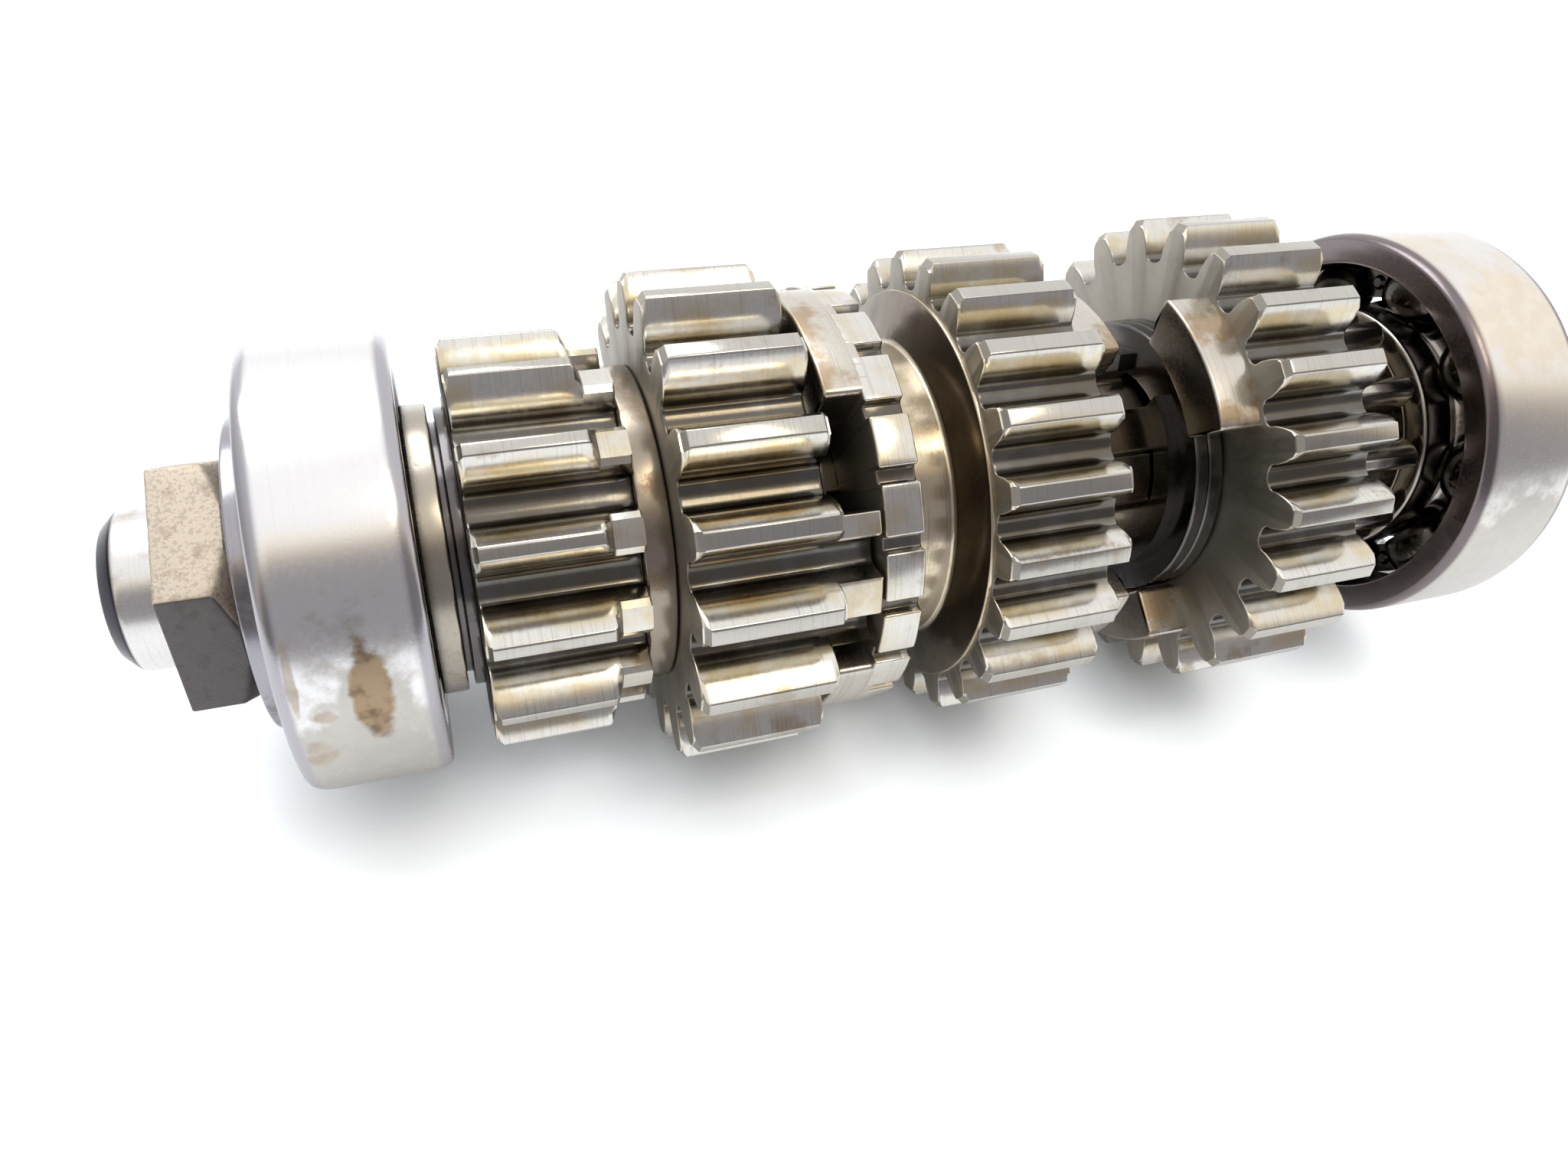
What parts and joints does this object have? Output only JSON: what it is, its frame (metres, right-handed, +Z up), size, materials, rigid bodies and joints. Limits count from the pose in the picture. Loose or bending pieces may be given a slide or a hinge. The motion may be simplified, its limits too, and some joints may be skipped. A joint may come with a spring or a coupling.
{
  "type": "transmission main shaft",
  "caption": "Gearbox input shaft with fixed, free and sliding spur gears between two ball bearings, held by a hexagon lock nut.",
  "frame": {"origin": "on the shaft axis, midway across the small ball bearing", "axes": "+X along the shaft from the small bearing towards the large one, +Z up as the shaft lies on its gears, +Y away from the picture's camera"},
  "size_m": [0.169, 0.0588, 0.0588],
  "materials": {
    "shaft_steel": "ground and machined steel with an oily brown film",
    "gear_steel": "case-hardened steel, bright on the tooth tips, oil-tinted flanks",
    "bearing_steel": "ground bearing steel with light staining",
    "ball_steel": "polished bearing steel under oil",
    "cage_steel": "pressed sheet steel under dark oil",
    "collar_steel": "ground steel with an oil tint",
    "clip_steel": "blackened spring steel",
    "dark_nut_steel": "dark, worn and lightly pitted steel",
    "bush_bronze": "oiled sintered bronze"
  },
  "bodies": {
    "shaft_assembly": {"main_shaft": "shaft_steel", "lock_nut": "dark_nut_steel", "nut_washer": "dark_nut_steel", "small_bearing_inner_ring": "bearing_steel", "spacer_collar": "collar_steel", "shim": "collar_steel", "thrust_washer": "collar_steel", "second_pinion": "gear_steel", "mid_thrust_collar": "collar_steel", "fifth_gear_bush": "bush_bronze", "fifth_gear_washer": "collar_steel", "fifth_gear_circlip": "clip_steel", "fourth_gear_bush": "bush_bronze", "fourth_gear_washer": "collar_steel", "fourth_gear_lock_washer": "collar_steel", "fourth_gear_circlip": "clip_steel", "large_bearing_inner_ring": "bearing_steel"},
    "fifth_gear_body": {"fifth_gear": "gear_steel"},
    "sliding_gear_body": {"sliding_gear": "gear_steel"},
    "fourth_gear_body": {"fourth_gear": "gear_steel"},
    "small_outer_ring": {"small_bearing_outer_ring": "bearing_steel"},
    "large_outer_ring": {"large_bearing_outer_ring": "bearing_steel"},
    "small_cage": {"small_bearing_balls": "ball_steel", "small_bearing_cage_left": "cage_steel", "small_bearing_cage_right": "cage_steel", "small_bearing_rivets": "cage_steel"},
    "large_cage": {"large_bearing_balls": "ball_steel", "large_bearing_cage_left": "cage_steel", "large_bearing_cage_right": "cage_steel", "large_bearing_rivets": "cage_steel"}
  },
  "joints": [
    {"name": "fifth_gear_spin", "type": "hinge", "parent": "shaft_assembly", "child": "fifth_gear_body", "pos_m": [0.0387, 0, 0], "axis": [1, 0, 0], "range_deg": [-27.6, 9]},
    {"name": "sliding_gear_shift", "type": "slide", "parent": "shaft_assembly", "child": "sliding_gear_body", "axis": [1, 0, 0], "range_m": [-0.0003, 0.008]},
    {"name": "fourth_gear_spin", "type": "hinge", "parent": "shaft_assembly", "child": "fourth_gear_body", "pos_m": [0.1044, 0, 0], "axis": [1, 0, 0], "continuous": true},
    {"name": "small_outer_ring_spin", "type": "hinge", "parent": "shaft_assembly", "child": "small_outer_ring", "pos_m": [0, 0, 0], "axis": [1, 0, 0], "continuous": true},
    {"name": "large_outer_ring_spin", "type": "hinge", "parent": "shaft_assembly", "child": "large_outer_ring", "pos_m": [0.1357, 0, 0], "axis": [1, 0, 0], "continuous": true},
    {"name": "small_cage_spin", "type": "hinge", "parent": "shaft_assembly", "child": "small_cage", "pos_m": [0, 0, 0], "axis": [1, 0, 0], "continuous": true},
    {"name": "large_cage_spin", "type": "hinge", "parent": "shaft_assembly", "child": "large_cage", "pos_m": [0.1357, 0, 0], "axis": [1, 0, 0], "continuous": true}
  ],
  "couplings": [
    {"joint": "small_cage_spin", "follows": "small_outer_ring_spin", "ratio": 0.6185},
    {"joint": "large_cage_spin", "follows": "large_outer_ring_spin", "ratio": 0.6031}
  ]
}
